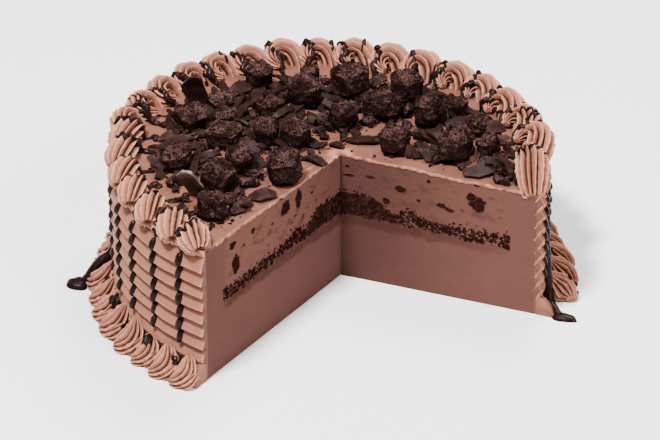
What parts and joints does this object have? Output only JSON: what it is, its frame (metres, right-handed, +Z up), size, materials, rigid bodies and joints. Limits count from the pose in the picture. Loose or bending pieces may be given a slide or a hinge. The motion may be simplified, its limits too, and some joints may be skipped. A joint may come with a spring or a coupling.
{
  "type": "ice cream cake",
  "caption": "Round layered chocolate ice cream cake with a wedge cut out, combed and piped icing, fudge runs, and brownie pieces and broken chocolate on top.",
  "frame": {"origin": "middle of the whole footprint, on the plane the cake stands on", "axes": "+Z up, -Y towards the missing wedge, +X to the right when looking into the wedge"},
  "size_m": [0.3028, 0.2622, 0.1108],
  "materials": {
    "smooth_ice_cream": "smooth frozen chocolate ice cream, satin",
    "brownie_ice_cream": "chocolate ice cream with dark inclusions, satin",
    "icing": "whipped chocolate icing, soft satin",
    "fudge": "glossy dark fudge",
    "cookie_crunch": "coarse dry crumbs, matte",
    "brownie": "baked brownie, rough and matte",
    "dark_chocolate": "dark chocolate, satin"
  },
  "bodies": {
    "root": {"base_ice_cream": "smooth_ice_cream", "fudge_layer": "fudge", "crunch_layer": "cookie_crunch", "upper_ice_cream": "brownie_ice_cream", "icing_coat": "icing", "top_border": "icing", "bottom_border": "icing", "brownie_01": "brownie", "brownie_02": "brownie", "brownie_03": "brownie", "brownie_04": "brownie", "brownie_05": "brownie", "brownie_06": "brownie", "brownie_07": "brownie", "brownie_08": "brownie", "brownie_09": "brownie", "brownie_10": "brownie", "brownie_11": "brownie", "brownie_12": "brownie", "brownie_13": "brownie", "brownie_14": "brownie", "brownie_15": "brownie", "brownie_16": "brownie", "brownie_17": "brownie", "brownie_18": "brownie", "brownie_19": "brownie", "brownie_20": "brownie", "brownie_21": "brownie", "brownie_22": "brownie", "brownie_23": "brownie", "brownie_24": "brownie", "brownie_25": "brownie", "chocolate_shard_01": "dark_chocolate", "chocolate_shard_02": "dark_chocolate", "chocolate_shard_03": "dark_chocolate", "chocolate_shard_04": "dark_chocolate", "chocolate_shard_05": "dark_chocolate", "chocolate_shard_06": "dark_chocolate", "chocolate_shard_07": "dark_chocolate", "chocolate_shard_08": "dark_chocolate", "chocolate_shard_09": "dark_chocolate", "chocolate_shard_10": "dark_chocolate", "chocolate_shard_11": "dark_chocolate", "chocolate_shard_12": "dark_chocolate", "chocolate_shard_13": "dark_chocolate", "chocolate_shard_14": "dark_chocolate", "chocolate_shard_15": "dark_chocolate", "chocolate_shard_16": "dark_chocolate", "chocolate_shard_17": "dark_chocolate", "chocolate_shard_18": "dark_chocolate", "chocolate_shard_19": "dark_chocolate", "chocolate_shard_20": "dark_chocolate", "chocolate_shard_21": "dark_chocolate", "chocolate_shard_22": "dark_chocolate"}
  },
  "joints": []
}
